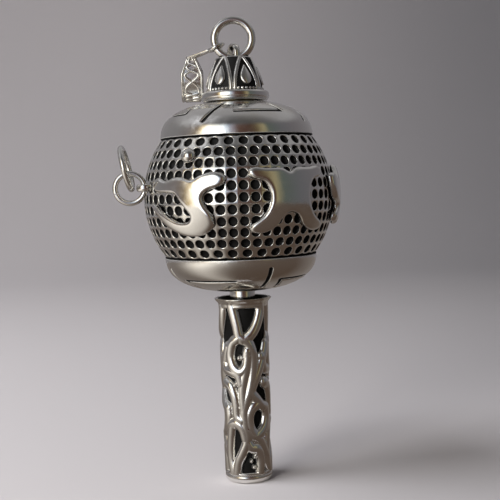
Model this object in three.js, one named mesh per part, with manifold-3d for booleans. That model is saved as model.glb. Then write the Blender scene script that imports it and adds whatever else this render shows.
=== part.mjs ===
// A pendant prayer wheel in oxidised silver, in millimetres, +Z up.
// The origin is the centre of the handle's flat foot. The spindle stands on the Z axis, and the front is -Y.
// The drum turns on the spindle between a thrust collar on the handle and a washer under the crown.
import * as THREE from "three";
import { mergeVertices, toCreasedNormals } from "three/addons/utils/BufferGeometryUtils.js";
import Module from "manifold-3d";

const wasm = await Module();
wasm.setup();

// ---- Handle ----
const handleLength = 24.0;
const handleTopRadius = 3.3;
const handleFootRadius = 3.1;
const handleWall = 0.8;
const handleLipRadius = 3.75; // the rim flares out at the top
const handleLipHeight = 0.9;
const handleLipEdge = 0.3;
const endCapHeight = 1.0;
const coreRecess = 0.9; // how far the core's top lies below the handle's rim
const windowRows = 4;
const windowsPerRow = 4;
const windowRim = 1.6; // plain band above and below the openwork
const windowStrut = 1.0; // silver left between neighbouring windows

// ---- Spindle and the stack on it ----
const spindleRadius = 1.0;
const thrustCollarRadius = 1.65;
const necking = 1.0; // bare height between the handle's rim and the drum
const washerRadius = 2.5;
const washerThickness = 0.25;
const collarRadius = 4.42;
const collarHeight = 0.95;
const crownBaseRadius = 3.85;
const crownTopRadius = 2.3;
const crownHeight = 4.3; // above the collar
const crownDishRadius = 1.9;
const crownDishDepth = 1.0;
const crownBoreDepth = 2.2;
const crownEyeHalfGap = 0.85;
const crownEyeWall = 0.5;
const crownEyeHeight = 2.85; // above the dish
const crownEyeHalfWidth = 0.4;
const crownEyeTurn = 25; // degrees about Z

// ---- Drum ----
const drumRadius = 12.25;
const drumRimRadius = 9.8;
const drumHalfHeight = 7.4;
const shellWall = 0.7;
const seamGap = 0.15; // the dark line between each dome and the shell
const domeRise = 4.7;
const domeFullness = 2.4; // 2 makes the domes' profile an ellipse, and more makes it fuller
const domeWall = 0.7;
const spigotDepth = 1.0; // the domes' lips reach this far into the shell
const spigotWall = 0.6;
const bushRadius = 2.75;
const bushLength = 2.0;
const scrollTubeRadius = 1.8;
const scrollRadius = 8.2;
const scrollHeight = 13.0;
const tieWidth = 1.4;
const tieThickness = 0.25;
const tieSpread = 3.6; // each tie's height above or below the drum's middle

// ---- Ornament on the drum ----
const reliefHeight = 0.9;
const reliefPitch = 60; // degrees
const reliefStretch = 1.22; // scales the outlines across
const reliefSquash = 0.86; // scales the outlines upwards
const firstRelief = -30; // degrees round from the front, positive towards +X
const reliefMiddle = -0.3; // above the drum's middle
const studRadius = 0.95;
const studHeight = 5.0; // above the drum's middle
const lugAngle = -66; // degrees round from the front
const lugHeight = 1.5; // above the drum's middle
const lugHalfGap = 0.55;
const lugWall = 0.5;
const lugReach = 1.6; // from the shell to the lug's outside
const lugHalfWidth = 0.45;

// ---- Rings and bail ----
const topRingRadius = 2.4; // to the middle of the wire
const topRingWire = 0.52; // the wire's own radius
const topRingRest = 1.0; // the wire's middle above the crown's dish
const innerRingRadius = 1.85;
const innerRingWire = 0.35;
const outerRingRadius = 2.6;
const outerRingWire = 0.38;
const outerRingLift = 0.6; // its centre above the inner ring's wire
const outerRingShift = -0.35; // its middle along X from the inner ring's middle
const outerRingLean = 12; // degrees, the top leaning away from the drum
const bailSeat = 205; // degrees round the top ring from its +X side
const bailEyeRadius = 0.95;
const bailEyeWire = 0.25;
const bailNeck = [-3.4, 2.2, -0.9]; // from the eye's centre to the top of the loop, out past the crown
const bailNeckWidth = 1.1;
const bailNeckThickness = 0.5;
const bailLean = 15; // degrees, the loop's end swung back from upright
const bailLength = 5.7; // of the loop
const bailDepth = 2.6;
const bailWidth = 2.9;
const bailWall = 0.5;
const bailTaper = 0.35; // the share of the loop over which it widens

// ---- Clearances ----
const pressGap = 0.04; // between pieces that are soldered, pressed or screwed together
const reliefGap = 0.08; // solder under the ornament
const runningClearance = 0.06;
const endPlay = 0.1; // the drum's free movement along the spindle
const skirtGap = 0.15; // between the crown's collar and the drum under it

const ROUND = 36; // segments round the drum
const MEDIUM = 24; // segments round the handle and the crown
const SMALL = 20; // segments round the spindle
const degrees = THREE.MathUtils.degToRad;

// ---- Places worked out from them ----
const domeHeight = (r) => domeRise * (1 - (r / drumRimRadius) ** domeFullness) ** (1 / domeFullness);
const drumBottom = handleLength + necking;
const lowerRim = drumBottom + domeHeight(bushRadius);
const drumMiddle = lowerRim + seamGap + drumHalfHeight;
const upperRim = drumMiddle + drumHalfHeight + seamGap;
const drumTop = upperRim + domeHeight(bushRadius);
const washerTop = drumTop + endPlay / 2 + washerThickness;
const collarSeat = washerTop + pressGap;
const collarTop = collarSeat + collarHeight;
const crownBase = collarTop + pressGap;
const crownTop = crownBase + crownHeight;
const dishFloor = crownTop - crownDishDepth;
const topRingPivot = dishFloor + topRingRest;
const topRingCentre = topRingPivot + topRingRadius;
const boreRadius = spindleRadius + pressGap;
const turningBore = spindleRadius + runningClearance;

// The barrel's outside is an arc through its rims and its belly.
const bulge = drumRadius - drumRimRadius;
const barrelArc = (bulge ** 2 + drumHalfHeight ** 2) / (2 * bulge);
const barrelRadius = (height) => drumRadius - barrelArc + Math.sqrt(barrelArc ** 2 - height ** 2);

// ---- Finishes ----
const silver = () => new THREE.MeshStandardMaterial({ color: 0xc9c6c0, roughness: 0.22, metalness: 1 });
const blackened = () => new THREE.MeshStandardMaterial({ color: 0x1b1917, roughness: 0.55, metalness: 0.8 });
const brass = () => new THREE.MeshStandardMaterial({ color: 0xb08a45, roughness: 0.4, metalness: 1 });
const paper = () => new THREE.MeshStandardMaterial({ color: 0xe3d6b4, roughness: 0.9, metalness: 0 });
const thread = () => new THREE.MeshStandardMaterial({ color: 0x9b2a22, roughness: 0.9, metalness: 0 });

// ---- Shape helpers ----
// Turns a profile of [radius, height] pairs, listed anticlockwise, about Z.
function revolve(profile, segments) {
  const loop = profile[0][0] === 0 ? profile : [...profile, profile[0]];
  const points = loop.map(([r, z]) => new THREE.Vector2(r, z));
  return new THREE.LatheGeometry(points, segments).rotateX(Math.PI / 2);
}

const tube = (inner, outer, bottom, top, segments) =>
  revolve([[inner, bottom], [outer, bottom], [outer, top], [inner, top]], segments);

function solid(geometry) {
  const bare = geometry.clone();
  bare.deleteAttribute("normal");
  bare.deleteAttribute("uv");
  const merged = mergeVertices(bare, 1e-4);
  const triVerts = new Uint32Array(merged.index.array);
  const vertProperties = merged.attributes.position.array;
  return new wasm.Manifold(new wasm.Mesh({ numProp: 3, vertProperties, triVerts }));
}

function geometryOf(manifold) {
  const { vertProperties, triVerts } = manifold.getMesh();
  const made = new THREE.BufferGeometry();
  made.setAttribute("position", new THREE.BufferAttribute(vertProperties, 3));
  made.setIndex(new THREE.BufferAttribute(triVerts, 1));
  return toCreasedNormals(made, degrees(30));
}

// A ring of round wire in the XZ plane.
const wireRing = (radius, wire) => new THREE.TorusGeometry(radius, wire, 8, 26).rotateX(Math.PI / 2);

// A strap bent into an arch that stands on z = 0, with the way through it along X.
function strapEye(halfGap, wall, height, halfWidth) {
  const outer = halfGap + wall;
  const spring = height - outer;
  const arch = new THREE.Shape().moveTo(outer, 0).lineTo(outer, spring).absarc(0, spring, outer, 0, Math.PI);
  arch.lineTo(-outer, 0).lineTo(-halfGap, 0).lineTo(-halfGap, spring);
  arch.absarc(0, spring, halfGap, Math.PI, 0, true).lineTo(halfGap, 0);
  const options = { depth: 2 * halfWidth, bevelEnabled: false, curveSegments: 8 };
  const bent = new THREE.ExtrudeGeometry(arch, options);
  return bent.translate(0, 0, -halfWidth).rotateX(Math.PI / 2).rotateZ(Math.PI / 2);
}

// The direction that faces out of the drum at an angle round from the front.
const outward = (angle) => new THREE.Vector3(Math.sin(degrees(angle)), -Math.cos(degrees(angle)), 0);

function piece(name, geometry, material) {
  const mesh = new THREE.Mesh(geometry, material);
  mesh.name = name;
  return mesh;
}

// ---- Handle pieces ----
const sleeveBottom = endCapHeight + pressGap;
const coreTop = handleLength - coreRecess;
const sleeveRadius = (z) => THREE.MathUtils.mapLinear(z, 0, handleLength, handleFootRadius, handleTopRadius);
const lipFoot = handleLength - handleLipHeight;
const coreRadius = (z) => sleeveRadius(z) - handleWall - pressGap;

// A tube pierced by rows of upright oval windows, each row turned half a pitch from the last.
function handleSleeve() {
  const profile = [
    [sleeveRadius(sleeveBottom) - handleWall, sleeveBottom],
    [sleeveRadius(sleeveBottom), sleeveBottom],
    [sleeveRadius(lipFoot), lipFoot],
    [handleLipRadius, handleLength - handleLipEdge],
    [handleLipRadius, handleLength],
    [handleTopRadius - handleWall, handleLength],
  ];
  let sleeve = solid(revolve(profile, MEDIUM));
  const rowPitch = (handleLength - sleeveBottom - 2 * windowRim) / windowRows;
  const halfWidth = (Math.PI * handleFootRadius) / windowsPerRow - windowStrut / 2;
  const halfHeight = (rowPitch - windowStrut) / 2;
  for (let row = 0; row < windowRows; row++) {
    const z = sleeveBottom + windowRim + rowPitch * (row + 0.5);
    for (let n = 0; n < windowsPerRow; n++) {
      const turn = ((n + (row % 2) / 2) * 2 * Math.PI) / windowsPerRow;
      const drill = new THREE.CylinderGeometry(1, 1, 2 * handleTopRadius, 10);
      drill.scale(halfWidth, 1, halfHeight).translate(0, handleTopRadius, 0);
      drill.rotateZ(turn).translate(0, 0, z);
      sleeve = sleeve.subtract(solid(drill));
    }
  }
  return piece("handle_sleeve", geometryOf(sleeve), silver());
}

function handleCore() {
  const profile = [
    [boreRadius, sleeveBottom],
    [coreRadius(sleeveBottom), sleeveBottom],
    [coreRadius(coreTop), coreTop],
    [boreRadius, coreTop],
  ];
  return piece("handle_core", revolve(profile, MEDIUM), blackened());
}

function handleEndCap() {
  const profile = [[0, 0], [handleFootRadius, 0], [handleFootRadius, endCapHeight], [0, endCapHeight]];
  return piece("handle_end_cap", revolve(profile, MEDIUM), silver());
}

// ---- Spindle and what it carries ----
function spindle() {
  const top = collarSeat + crownBoreDepth;
  const profile = [[0, sleeveBottom], [spindleRadius, sleeveBottom], [spindleRadius, top], [0, top]];
  return piece("spindle", revolve(profile, SMALL), silver());
}

function thrustCollar() {
  const ring = tube(boreRadius, thrustCollarRadius, coreTop + pressGap, drumBottom - endPlay / 2, SMALL);
  return piece("thrust_collar", ring, silver());
}

function topWasher() {
  const ring = tube(boreRadius, washerRadius, washerTop - washerThickness, washerTop, SMALL);
  return piece("top_washer", ring, brass());
}

// A rounded band whose underside follows the dome below it.
function crownCollar() {
  const skirt = (r) => upperRim + domeHeight(r) + skirtGap;
  const skirtInner = washerRadius + 2 * runningClearance;
  const skirtOuter = collarRadius - 0.25;
  const round = collarHeight / 2;
  const profile = [
    [boreRadius, collarSeat],
    [skirtInner, collarSeat],
    [skirtInner + runningClearance, skirt(skirtInner)],
    [skirtOuter, skirt(skirtOuter)],
    [collarRadius - 0.06, collarSeat + 0.25 * round],
    [collarRadius, collarSeat + 0.8 * round],
    [collarRadius - 0.1, collarSeat + 1.5 * round],
    [collarRadius - 0.4, collarTop],
    [boreRadius, collarTop],
  ];
  return piece("crown_collar", revolve(profile, MEDIUM), silver());
}

// A bell with a blind bore below and a dish above, where the eye is soldered in.
function crown() {
  const boreTop = collarSeat + crownBoreDepth + pressGap;
  const flare = crownBaseRadius - crownTopRadius;
  const at = (share, rise) => [crownTopRadius + share * flare, crownBase + rise * crownHeight];
  const profile = [
    [0, boreTop],
    [boreRadius, boreTop],
    [boreRadius, crownBase],
    at(1, 0),
    at(0.95, 0.1),
    at(0.85, 0.25),
    at(0.74, 0.42),
    at(0.56, 0.6),
    at(0.36, 0.78),
    at(0.1, 0.95),
    at(0, 1),
    [crownDishRadius, crownTop],
    [crownDishRadius, dishFloor],
    [0, dishFloor],
  ];
  return piece("crown", revolve(profile, MEDIUM), silver());
}

function crownEye() {
  const arch = strapEye(crownEyeHalfGap, crownEyeWall, crownEyeHeight, crownEyeHalfWidth);
  const mesh = piece("crown_eye", arch, silver());
  mesh.rotation.z = degrees(crownEyeTurn);
  mesh.position.z = dishFloor + pressGap;
  return mesh;
}

// ---- Drum pieces ----
// The barrel's outside grown by some thickness, from bottom to top, as [radius, height] pairs.
function barrelOutline(growth) {
  const rows = 8;
  const heights = Array.from({ length: rows + 1 }, (_, n) => drumHalfHeight * (2 * (n / rows) - 1));
  return heights.map((height) => [barrelRadius(height) + growth, drumMiddle + height]);
}

const barrelSkin = (inner, outer) =>
  revolve([...barrelOutline(outer), ...barrelOutline(inner).reverse()], ROUND);

const drumShell = () => piece("drum_shell", barrelSkin(-shellWall, 0), silver());

// A dome with its rim on z = 0, a bush hole at the top and a lip that fits inside the shell.
function dome() {
  const lipOuter = drumRimRadius - shellWall - pressGap;
  const lipInner = lipOuter - spigotWall;
  const holeRadius = bushRadius + pressGap;
  const steps = 7;
  const power = 2 / domeFullness;
  const outside = [];
  const inside = [];
  for (let n = 0; n <= steps; n++) {
    const turn = (n / steps) * Math.acos((holeRadius / drumRimRadius) ** (1 / power));
    outside.push([drumRimRadius * Math.cos(turn) ** power, domeRise * Math.sin(turn) ** power]);
    const innerRise = domeRise - domeWall;
    const innerTurn = (n / steps) * Math.acos((holeRadius / lipInner) ** (1 / power));
    inside.push([lipInner * Math.cos(innerTurn) ** power, innerRise * Math.sin(innerTurn) ** power]);
  }
  const lip = [[lipInner, -seamGap - spigotDepth], [lipOuter, -seamGap - spigotDepth], [lipOuter, 0]];
  return revolve([...lip, ...outside, ...inside.reverse()], ROUND);
}

function upperDome() {
  const mesh = piece("upper_dome", dome(), silver());
  mesh.position.z = upperRim;
  return mesh;
}

function lowerDome() {
  const mesh = piece("lower_dome", dome(), silver());
  mesh.rotation.x = Math.PI;
  mesh.position.z = lowerRim;
  return mesh;
}

function bush(name, bottom) {
  return piece(name, tube(turningBore, bushRadius, bottom, bottom + bushLength, ROUND), brass());
}

// ---- Prayer roll inside the drum ----
function scrollTube() {
  const bottom = drumBottom + bushLength + pressGap;
  const top = drumTop - bushLength - pressGap;
  const bore = turningBore + runningClearance;
  return piece("scroll_tube", tube(bore, scrollTubeRadius, bottom, top, ROUND), brass());
}

function prayerScroll() {
  const bottom = drumMiddle - scrollHeight / 2;
  const roll = tube(scrollTubeRadius + pressGap, scrollRadius, bottom, bottom + scrollHeight, ROUND);
  return piece("prayer_scroll", roll, paper());
}

function scrollTie(name, height) {
  const inner = scrollRadius + pressGap;
  const bottom = drumMiddle + height - tieWidth / 2;
  return piece(name, tube(inner, inner + tieThickness, bottom, bottom + tieWidth, ROUND), thread());
}

// ---- Ornament ----
// Outlines of the ornaments, seen from outside, as [across, up] pairs: a cloud with a long tail, and
// the right half of two symmetric ones, an altar table and a lotus bud.
const tailedCloud = [
  [-4.2, 2.3], [-4.2, 3.1], [-3.4, 3.7], [-2.3, 3.2], [-1.3, 3.6], [-0.2, 3.6], [0.8, 3.2], [1.9, 3.9],
  [3.3, 4.2], [4.2, 3.4], [3.8, 2.3], [2.6, 1.7], [2.0, 0.8], [2.2, -0.4], [2.8, -1.8], [2.8, -3.3],
  [1.6, -4.5], [-0.3, -4.6], [-2.2, -3.5], [-3.7, -1.7], [-4.5, -0.1], [-3.9, 0.0], [-2.7, -1.3],
  [-1.1, -2.5], [0.2, -2.6], [0.6, -1.8], [0.1, -0.8], [-0.5, 0.3], [-1.1, 1.3], [-2.3, 1.5], [-3.4, 1.6],
];
const altarTable = [
  [0, 3.7], [0.9, 4.3], [2.4, 4.3], [3.6, 4.5], [4.2, 3.9], [3.8, 3.0], [2.8, 2.5], [2.3, 1.2], [2.3, -0.6],
  [2.9, -2.3], [4.0, -3.6], [3.8, -4.5], [2.6, -4.6], [1.5, -3.7], [0.9, -2.4], [0, -1.8],
];
const lotusBud = [
  [0, 4.5], [1.0, 3.3], [1.9, 2.4], [3.2, 3.2], [4.0, 2.9], [4.1, 1.4], [3.5, -0.4], [2.3, -1.6], [3.1, -2.9],
  [2.7, -4.0], [1.2, -3.5], [0, -4.5],
];
const mirroredOutline = (half) => [...half, ...half.slice(1, -1).reverse().map(([x, y]) => [-x, y])];
const table = mirroredOutline(altarTable);
const bud = mirroredOutline(lotusBud);
const reliefMotifs = [tailedCloud, table, bud, table, tailedCloud];

// A motif cut straight through a shell-shaped skin, so that its plate lies on the barrel.
function reliefPlate(index) {
  const scaled = ([x, y]) => new THREE.Vector2(x * reliefStretch, y * reliefSquash);
  const outline = reliefMotifs[index].map(scaled);
  const closed = new THREE.SplineCurve([...outline, outline[0]]);
  const smooth = closed.getPoints(Math.round(1.4 * outline.length)).slice(0, -1);
  const reach = 2 * (reliefHeight + bulge);
  const block = new THREE.ExtrudeGeometry(new THREE.Shape(smooth), { depth: reach, bevelEnabled: false });
  block.translate(0, 0, drumRimRadius - bulge).rotateX(Math.PI / 2);
  block.rotateZ(degrees(firstRelief + index * reliefPitch)).translate(0, 0, drumMiddle + reliefMiddle);
  const skin = solid(barrelSkin(reliefGap, reliefGap + reliefHeight));
  return piece(`relief_plate_${index + 1}`, geometryOf(skin.intersect(solid(block))), silver());
}

// A half-round bead soldered to the barrel above the first plate.
function beadStud() {
  const shape = [[0, 0], [0.8, 0], [0.97, 0.3], [0.97, 0.6], [0.78, 1.0], [0.43, 1.27], [0, 1.35]];
  const profile = shape.map(([r, z]) => [r * studRadius, z * studRadius]);
  const mesh = piece("bead_stud", revolve(profile, 16), silver());
  const tilt = studHeight / barrelArc;
  const normal = outward(firstRelief).multiplyScalar(Math.sqrt(1 - tilt ** 2)).setZ(tilt);
  mesh.quaternion.setFromUnitVectors(new THREE.Vector3(0, 0, 1), normal);
  mesh.position.copy(outward(firstRelief)).multiplyScalar(barrelRadius(studHeight));
  mesh.position.z = drumMiddle + studHeight;
  mesh.position.addScaledVector(normal, reliefGap);
  return mesh;
}

const lugOutward = outward(lugAngle);
const lugBar = lugOutward.clone().multiplyScalar(barrelRadius(lugHeight) + lugReach - lugWall - lugHalfGap);
lugBar.z = drumMiddle + lugHeight;

// An arch that stands out of the shell with its way through upright.
function sideLug() {
  const arch = strapEye(lugHalfGap, lugWall, lugReach - reliefGap, lugHalfWidth);
  const mesh = piece("side_lug", arch, silver());
  const up = new THREE.Vector3(0, 0, 1);
  const stance = new THREE.Matrix4().makeBasis(up, lugOutward.clone().cross(up), lugOutward);
  mesh.quaternion.setFromRotationMatrix(stance);
  mesh.position.copy(lugOutward).multiplyScalar(barrelRadius(lugHeight) + reliefGap);
  mesh.position.z = lugBar.z;
  return mesh;
}

// ---- Rings and bail ----
const innerRingCentre = lugBar.clone().add(new THREE.Vector3(-innerRingRadius, 0, 0));

function sideRingInner() {
  const mesh = piece("side_ring_inner", wireRing(innerRingRadius, innerRingWire), silver());
  mesh.position.copy(innerRingCentre);
  return mesh;
}

function sideRingOuter() {
  const ring = wireRing(outerRingRadius, outerRingWire).rotateZ(Math.PI / 2);
  const mesh = piece("side_ring_outer", ring, silver());
  mesh.rotation.y = degrees(-outerRingLean);
  mesh.position.copy(innerRingCentre);
  mesh.position.add(new THREE.Vector3(outerRingShift, 0, innerRingRadius + outerRingLift));
  return mesh;
}

function topRing() {
  const mesh = piece("top_ring", wireRing(topRingRadius, topRingWire), silver());
  mesh.position.z = topRingCentre;
  return mesh;
}

// The points of a teardrop side view that hangs from z = 0 and ends in a half circle.
function teardrop(halfDepth, halfNeck, top, end) {
  const middle = halfDepth - end;
  const point = (x, y) => new THREE.Vector2(x, y);
  const shoulder = top - 1;
  const flare = [point(halfNeck, top), point(halfNeck, shoulder), point(halfDepth, shoulder)];
  const side = new THREE.CubicBezierCurve(...flare, point(halfDepth, middle)).getPoints(6);
  const round = new THREE.EllipseCurve(0, middle, halfDepth, halfDepth, 0, -Math.PI / 2, true).getPoints(4);
  const half = [...side, ...round.slice(1)];
  const mirrored = half.slice(0, -1).reverse();
  return [...half, ...mirrored.map((p) => point(-p.x, p.y))];
}

// A band bent into a teardrop loop that hangs down -Z, open along X and narrowed towards its top.
function bailLoop() {
  const outline = new THREE.Shape(teardrop(bailDepth / 2, bailNeckThickness, 0, bailLength));
  const inside = teardrop(bailDepth / 2 - bailWall, 0.1, -2 * bailWall, bailLength - bailWall);
  outline.holes.push(new THREE.Path(inside.reverse()));
  const band = new THREE.ExtrudeGeometry(outline, { depth: bailWidth, bevelEnabled: false });
  band.translate(0, 0, -bailWidth / 2).rotateX(Math.PI / 2).rotateZ(Math.PI / 2);
  const shoulder = -bailTaper * bailLength;
  const foot = -bailLength - 1;
  const taper = new THREE.Shape().moveTo(-bailNeckWidth / 2, 1).lineTo(-bailNeckWidth / 2, 0);
  taper.lineTo(-bailWidth / 2, shoulder).lineTo(-bailWidth / 2, foot).lineTo(bailWidth / 2, foot);
  taper.lineTo(bailWidth / 2, shoulder).lineTo(bailNeckWidth / 2, 0).lineTo(bailNeckWidth / 2, 1);
  const blank = new THREE.ExtrudeGeometry(taper, { depth: 2 * bailDepth, bevelEnabled: false });
  blank.translate(0, 0, -bailDepth).rotateX(Math.PI / 2);
  return solid(band).intersect(solid(blank));
}

// The loop, the neck that carries it clear of the crown, and the wire eye on the top ring.
function bail() {
  const seat = degrees(bailSeat);
  const neck = new THREE.Vector3(...bailNeck);
  const eye = wireRing(bailEyeRadius, bailEyeWire).rotateZ(Math.PI / 2);
  const alongWire = new THREE.Vector3(-Math.sin(seat), 0, Math.cos(seat));
  eye.applyQuaternion(new THREE.Quaternion().setFromUnitVectors(new THREE.Vector3(1, 0, 0), alongWire));
  const bar = new THREE.BoxGeometry(bailNeckThickness, bailNeckWidth, neck.length() - bailEyeRadius);
  bar.translate(0, 0, (neck.length() + bailEyeRadius) / 2);
  const up = new THREE.Vector3(0, 0, 1);
  bar.applyQuaternion(new THREE.Quaternion().setFromUnitVectors(up, neck.clone().normalize()));
  const lean = new THREE.Matrix4().makeRotationX(degrees(bailLean)).setPosition(neck);
  const loop = geometryOf(bailLoop()).applyMatrix4(lean);
  const mesh = piece("bail", geometryOf(solid(eye).add(solid(bar)).add(solid(loop))), silver());
  mesh.position.set(topRingRadius * Math.cos(seat), 0, topRingCentre + topRingRadius * Math.sin(seat));
  return mesh;
}

// ---- Assembly ----
const prayerWheel = new THREE.Group();
prayerWheel.name = "prayer_wheel";
prayerWheel.add(handleEndCap(), handleSleeve(), handleCore(), spindle(), thrustCollar());
prayerWheel.add(topWasher(), crownCollar(), crown(), crownEye());

const drum = new THREE.Group();
drum.add(drumShell(), upperDome(), lowerDome());
drum.add(bush("lower_bush", drumBottom), bush("upper_bush", drumTop - bushLength));
drum.add(scrollTube(), prayerScroll());
drum.add(scrollTie("scroll_tie_lower", -tieSpread), scrollTie("scroll_tie_upper", tieSpread));
for (let index = 0; index < reliefMotifs.length; index++) {
  drum.add(reliefPlate(index));
}
drum.add(beadStud(), sideLug(), sideRingInner(), sideRingOuter());
prayerWheel.add(drum, topRing(), bail());

export default prayerWheel;
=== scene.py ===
# %% [markdown]
# # A pendant prayer wheel in oxidised silver
# The real thing is a small piece of jewellery. A dimpled barrel drum, closed by two engraved domes, turns
# on a pin above a scrollwork handle. Above the drum sit a petalled crown, a jump ring and a filigree bail.
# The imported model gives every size, so this lesson loads it first and works everything else out from it.

# %% Load the frame
import math

import bmesh
import bpy
import numpy as np
from mathutils import Matrix, Vector


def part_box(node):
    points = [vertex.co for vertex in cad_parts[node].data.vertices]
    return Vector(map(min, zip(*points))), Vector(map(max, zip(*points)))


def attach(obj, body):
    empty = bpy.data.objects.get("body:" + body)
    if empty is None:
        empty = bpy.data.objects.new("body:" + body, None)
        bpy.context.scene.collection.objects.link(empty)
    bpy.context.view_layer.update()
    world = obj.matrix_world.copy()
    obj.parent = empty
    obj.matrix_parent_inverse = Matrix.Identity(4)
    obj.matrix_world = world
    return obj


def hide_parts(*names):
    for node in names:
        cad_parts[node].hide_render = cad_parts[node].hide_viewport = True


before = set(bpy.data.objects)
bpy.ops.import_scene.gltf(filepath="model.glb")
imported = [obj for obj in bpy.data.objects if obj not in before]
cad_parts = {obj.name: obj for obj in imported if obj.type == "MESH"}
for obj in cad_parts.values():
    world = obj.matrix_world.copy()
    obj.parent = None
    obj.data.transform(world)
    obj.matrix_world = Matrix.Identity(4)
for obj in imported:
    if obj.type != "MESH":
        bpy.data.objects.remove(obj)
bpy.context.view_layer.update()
MM = 0.001

# %% [markdown]
# ## Sizes
# Each piece takes its place from the box of the node that it stands for.

# %% Read the sizes of the nodes
shell_low, shell_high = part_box("drum_shell")
DRUM_RADIUS = shell_high.x
SHELL_MIDDLE = (shell_low.z + shell_high.z) / 2
SHELL_HALF = (shell_high.z - shell_low.z) / 2
RIM_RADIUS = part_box("upper_dome")[1].x
BULGE = DRUM_RADIUS - RIM_RADIUS
BARREL_ARC = (BULGE ** 2 + SHELL_HALF ** 2) / (2 * BULGE)
ARC_HALF_ANGLE = math.asin(SHELL_HALF / BARREL_ARC)
print(f"barrel: radius {DRUM_RADIUS / MM:.2f} mm, arc {BARREL_ARC / MM:.2f} mm")
print(f"barrel: middle {SHELL_MIDDLE / MM:.2f} mm up")


def barrel_radius(height):
    """The drum's outside radius at a height from its middle."""
    return DRUM_RADIUS - BARREL_ARC + np.sqrt(BARREL_ARC ** 2 - np.asarray(height) ** 2)


# %% [markdown]
# ## Camera and stage
# A small lens close to a small object bends its verticals a little, so the camera stands only 130 mm away,
# level with the drum's upper half, and looks slightly down. Its roll gives the slight lean of a pendant
# laid by hand.

# %% Place the camera
EYE = Vector((1.2, -130.0, 38.5)) * MM
TARGET = Vector((1.2, 0.0, 30.1)) * MM
ROLL = math.radians(-2.1)
camera = bpy.data.objects.new("camera", bpy.data.cameras.new("camera"))
camera.data.lens = 72.0
camera.data.sensor_width = 36.0
camera.data.clip_start = 0.01
camera.location = EYE
camera.rotation_mode = "QUATERNION"
aim = (TARGET - EYE).to_track_quat("-Z", "Y")
camera.rotation_quaternion = aim @ Matrix.Rotation(ROLL, 3, "Z").to_quaternion()
bpy.context.collection.objects.link(camera)
bpy.context.scene.camera = camera

# %% [markdown]
# ## Writing node trees as expressions
# Node trees are easier to read as sums than as boxes and wires. `Wire` wraps one output socket, and its
# operators add Math nodes, so `1 - mask` is a node too. `Graph.node` makes any other node: its settings
# first, then its inputs. The same two classes serve shaders and geometry.

# %% Wrap sockets and graphs


class Wire:
    """One output socket in a graph. Arithmetic on it adds Math nodes."""

    def __init__(self, graph, socket):
        self.graph = graph
        self.socket = socket

    def math(self, operation, *others):
        values = dict(enumerate((self, *others)))
        return self.graph.node("ShaderNodeMath", {"operation": operation}, values)

    def __add__(self, other):
        return self.math("ADD", other)

    def __radd__(self, other):
        return self.math("ADD", other)

    def __sub__(self, other):
        return self.math("SUBTRACT", other)

    def __rsub__(self, other):
        return self.graph.node("ShaderNodeMath", {"operation": "SUBTRACT"}, {0: other, 1: self})

    def __mul__(self, other):
        return self.math("MULTIPLY", other)

    def __rmul__(self, other):
        return self.math("MULTIPLY", other)

    def __truediv__(self, other):
        return self.math("DIVIDE", other)

    def __neg__(self):
        return self.math("MULTIPLY", -1.0)

    def abs(self):
        return self.math("ABSOLUTE")

    def sin(self):
        return self.math("SINE")

    def cos(self):
        return self.math("COSINE")

    def root(self):
        return self.math("SQRT")

    def power(self, exponent):
        return self.math("POWER", exponent)

    def least(self, other):
        return self.math("MINIMUM", other)

    def most(self, other):
        return self.math("MAXIMUM", other)

    def clamp(self):
        return self.most(0.0).least(1.0)

    def wrap(self, half):
        """Folds a value into the range from -half to half."""
        return self.math("WRAP", half, -half)

    def step(self, start, end):
        """Rises smoothly from 0 at start to 1 at end."""
        share = ((self - start) / (end - start)).clamp()
        return share * share * (3.0 - 2.0 * share)


class Graph:
    """A shader or geometry node tree that nodes are added to."""

    def __init__(self, tree):
        self.tree = tree

    def node(self, kind, settings=None, inputs=None, output=0):
        made = self.tree.nodes.new(kind)
        for name, value in (settings or {}).items():
            setattr(made, name, value)
        for name, value in (inputs or {}).items():
            if isinstance(value, Wire):
                self.tree.links.new(value.socket, made.inputs[name])
            else:
                made.inputs[name].default_value = value
        return Wire(self, made.outputs[output]) if made.outputs else made

    def mix(self, share, first, second):
        """A colour between two colours."""
        settings = {"data_type": "RGBA"}
        return self.node("ShaderNodeMix", settings, {0: share, 6: first, 7: second}, 2)

    def parts(self, vector):
        """A vector's X, Y and Z."""
        split = self.tree.nodes.new("ShaderNodeSeparateXYZ")
        self.tree.links.new(vector.socket, split.inputs[0])
        return [Wire(self, output) for output in split.outputs]


# %% [markdown]
# ## Silver that has been blackened and polished back
# Jewellers dip the piece until it is black, then polish the high places. Each detailed piece carries a
# point attribute for the black: 0 on polished metal, 1 in a recess. Mostly it is the real oxide, but at the
# domes' rims and on the lower edges of the ornaments it is painted shade. The shader mixes bright silver and
# black by it, breaks the border with noise, and adds warm tarnish, hair scratches and a slightly
# uneven surface.

# %% Make the metals
SILVER = (0.80, 0.785, 0.755, 1)
WARM_SILVER = (0.72, 0.66, 0.54, 1)
# The oxide's black. The same colour also paints shade at the domes' rims and on the ornaments' lower edges.
OXIDE_AND_SHADE = (0.003, 0.0028, 0.0026, 1)


def noise(graph, coordinates, scale, detail=2.0, roughness=0.5):
    inputs = {"Vector": coordinates, "Scale": scale, "Detail": detail, "Roughness": roughness}
    return graph.node("ShaderNodeTexNoise", None, inputs)


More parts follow.
